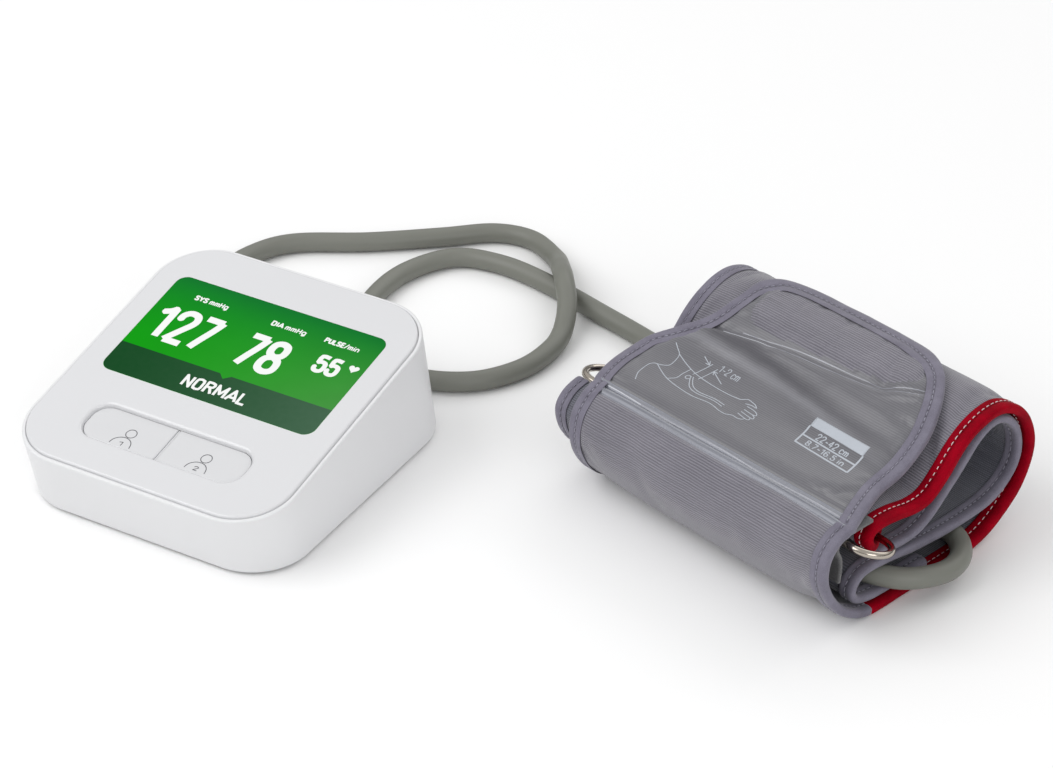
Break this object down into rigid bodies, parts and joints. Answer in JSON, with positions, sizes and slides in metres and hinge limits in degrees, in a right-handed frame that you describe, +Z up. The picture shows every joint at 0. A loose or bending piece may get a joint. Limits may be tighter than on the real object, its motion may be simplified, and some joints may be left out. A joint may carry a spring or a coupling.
{
  "type": "upper arm blood pressure monitor",
  "caption": "Desktop blood pressure monitor with a sloped screen panel and two keys, joined by an air hose to a rolled upper arm cuff with a ring and a peel-open flap.",
  "frame": {"origin": "on the surface the object stands on, under the middle of the whole set-out: monitor, cuff and hose", "axes": "+Z up; -Y towards the user, out of the monitor's low front edge; +X to the user's right, towards the cuff"},
  "size_m": [0.3931, 0.2864, 0.0696],
  "materials": {
    "housing": "satin white, fine texture",
    "panel": "glossy milk-white",
    "button": "satin white",
    "lens": "clear acrylic",
    "screen": "lit green display",
    "backlight": "milk-white diffuser",
    "inner_plastic": "moulded natural white",
    "screw_steel": "zinc plated",
    "board": "green solder mask",
    "chip": "moulded black",
    "shield": "tinned sheet",
    "battery": "shrink film",
    "soft_mount": "black rubber",
    "motor_steel": "drawn steel can",
    "rotor": "steel and copper",
    "inner_tube": "translucent silicone",
    "jack": "moulded grey",
    "foot": "soft matt",
    "hose": "smooth grey, satin",
    "nipple": "moulded dark grey",
    "bladder": "matt film",
    "cuff_cloth": "fine ribbed nylon",
    "cuff_lining": "plain nylon",
    "grey_tape": "woven tape",
    "red_tape": "woven tape",
    "hook": "hook tape",
    "felt": "felt",
    "ring_nickel": "warm nickel plate"
  },
  "bodies": {
    "base": {"upper_housing": "housing", "front_panel": "panel", "display_lens": "lens", "display_panel": "screen", "backlight_plate": "backlight", "display_frame": "inner_plastic", "frame_screws": "screw_steel", "button_board": "board", "button_switches": "chip", "board_screws": "screw_steel", "main_board": "board", "board_chips": "chip", "wireless_module": "shield", "pressure_sensor": "chip", "battery_pack": "battery", "battery_clamp": "inner_plastic", "pump_cradle": "soft_mount", "pump_motor": "motor_steel", "pump_head": "inner_plastic", "exhaust_valve": "motor_steel", "valve_spring": "screw_steel", "air_manifold": "inner_plastic", "inner_tubes": "inner_tube", "air_jack": "jack", "charging_port": "shield", "port_board": "board", "base_cover": "housing", "case_screws": "screw_steel", "rubber_feet": "foot", "hose_plug": "hose", "plug_seal": "soft_mount", "air_hose": "hose", "bladder_nipple": "nipple", "air_bladder": "bladder", "cuff_wrap": "cuff_cloth", "cuff_fold": "cuff_lining", "red_binding": "red_tape", "wrap_binding": "grey_tape", "fold_binding": "grey_tape", "metal_ring": "ring_nickel", "ring_felt": "felt"},
    "button_1": {"user_button_1": "button"},
    "button_2": {"user_button_2": "button"},
    "rotor": {"pump_rotor": "rotor"},
    "plunger": {"valve_plunger": "screw_steel"},
    "flap": {"cuff_flap": "cuff_cloth", "flap_binding": "grey_tape", "hook_pad": "hook"}
  },
  "joints": [
    {"name": "button_1_press", "type": "slide", "parent": "base", "child": "button_1", "axis": [0, 0.1874, -0.9823], "range_m": [0, 0.0008], "stiffness_N_per_m": 600, "springref_m": -0.0005},
    {"name": "button_2_press", "type": "slide", "parent": "base", "child": "button_2", "axis": [0, 0.1874, -0.9823], "range_m": [0, 0.0008], "stiffness_N_per_m": 600, "springref_m": -0.0005},
    {"name": "pump_spin", "type": "hinge", "parent": "base", "child": "rotor", "pos_m": [-0.119, -0.008, 0.0175], "axis": [1, 0, 0], "continuous": true},
    {"name": "valve_stroke", "type": "slide", "parent": "base", "child": "plunger", "axis": [0, 0, -1], "range_m": [0, 0.0012], "stiffness_N_per_m": 400, "springref_m": -0.0005, "deforming": ["valve_spring"]},
    {"name": "flap_peel", "type": "hinge", "parent": "base", "child": "flap", "pos_m": [0.0986, 0.0518, 0.0626], "axis": [0.9613, -0.2756, 0], "range_deg": [0, 100]}
  ]
}
